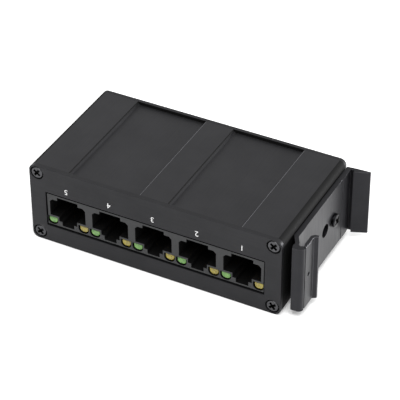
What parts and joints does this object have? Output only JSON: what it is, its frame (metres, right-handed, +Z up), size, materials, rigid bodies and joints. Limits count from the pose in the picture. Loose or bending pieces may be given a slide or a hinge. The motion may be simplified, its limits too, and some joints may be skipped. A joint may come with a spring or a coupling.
{
  "type": "desktop network switch",
  "caption": "Compact network switch in an extruded aluminium case with a row of network sockets, port lights, rear power inlets and a side clip for a 35 mm rail.",
  "frame": {"origin": "middle of the case's underside, between the channels, halfway between the end plates' outer faces and the side walls", "axes": "+X along the row of sockets towards the rail clip; -Y is the side the sockets face; +Z up"},
  "size_m": [0.0875, 0.0514, 0.026],
  "materials": {
    "case": "black anodised, fine satin",
    "plates": "black anodised, fine satin",
    "clip": "black anodised extrusion",
    "screws": "plated steel",
    "clip_screws": "blackened steel",
    "jacks": "moulded, fine matt",
    "contacts": "gold plated",
    "green_lights": "clear tinted",
    "yellow_lights": "clear tinted",
    "board": "solder mask",
    "black_plastic": "moulded",
    "cans": "drawn can",
    "pins": "tin plated",
    "terminal": "moulded",
    "cages": "plated"
  },
  "bodies": {
    "switch": {"case_tube": "case", "front_plate": "plates", "rear_plate": "plates", "front_screw_1": "screws", "front_screw_2": "screws", "front_screw_3": "screws", "front_screw_4": "screws", "rear_screw_1": "screws", "rear_screw_2": "screws", "rear_screw_3": "screws", "rear_screw_4": "screws", "jack_housing": "jacks", "contact_insert_1": "contacts", "contact_insert_2": "contacts", "contact_insert_3": "contacts", "contact_insert_4": "contacts", "contact_insert_5": "contacts", "green_light_1": "green_lights", "green_light_2": "green_lights", "green_light_3": "green_lights", "green_light_4": "green_lights", "green_light_5": "green_lights", "yellow_light_1": "yellow_lights", "yellow_light_2": "yellow_lights", "yellow_light_3": "yellow_lights", "yellow_light_4": "yellow_lights", "yellow_light_5": "yellow_lights", "circuit_board": "board", "line_transformer_1": "black_plastic", "line_transformer_2": "black_plastic", "line_transformer_3": "black_plastic", "line_transformer_4": "black_plastic", "line_transformer_5": "black_plastic", "switch_chip": "black_plastic", "capacitor_1": "cans", "capacitor_2": "cans", "power_choke": "black_plastic", "crystal": "cans", "regulator_chip": "black_plastic", "power_socket": "black_plastic", "power_socket_pin": "pins", "terminal_header": "terminal", "terminal_pin_1": "pins", "terminal_pin_2": "pins", "power_light": "green_lights", "power_light_holder": "black_plastic", "rail_clip": "clip", "rail_clip_screw_1": "clip_screws", "rail_clip_screw_2": "clip_screws"},
    "clip_arm": {"rail_clip_arm": "clip"},
    "plug": {"terminal_plug": "terminal", "terminal_cage_1": "cages", "terminal_cage_2": "cages"},
    "clamp_screw_1": {"terminal_screw_1": "screws"},
    "clamp_screw_2": {"terminal_screw_2": "screws"}
  },
  "joints": [
    {"name": "clip_arm_flex", "type": "hinge", "parent": "switch", "child": "clip_arm", "pos_m": [0.0439, -0.0173, 0.013], "axis": [0, 0, -1], "range_deg": [0, 5], "stiffness_Nm_per_rad": 4},
    {"name": "plug_pull", "type": "slide", "parent": "switch", "child": "plug", "axis": [0, 1, 0], "range_m": [0, 0.012]},
    {"name": "clamp_screw_1_turn", "type": "hinge", "parent": "plug", "child": "clamp_screw_1", "pos_m": [-0.02654, 0.0269, 0.0146], "axis": [0, 0, 1], "continuous": true},
    {"name": "clamp_screw_2_turn", "type": "hinge", "parent": "plug", "child": "clamp_screw_2", "pos_m": [-0.02146, 0.0269, 0.0146], "axis": [0, 0, 1], "continuous": true}
  ]
}
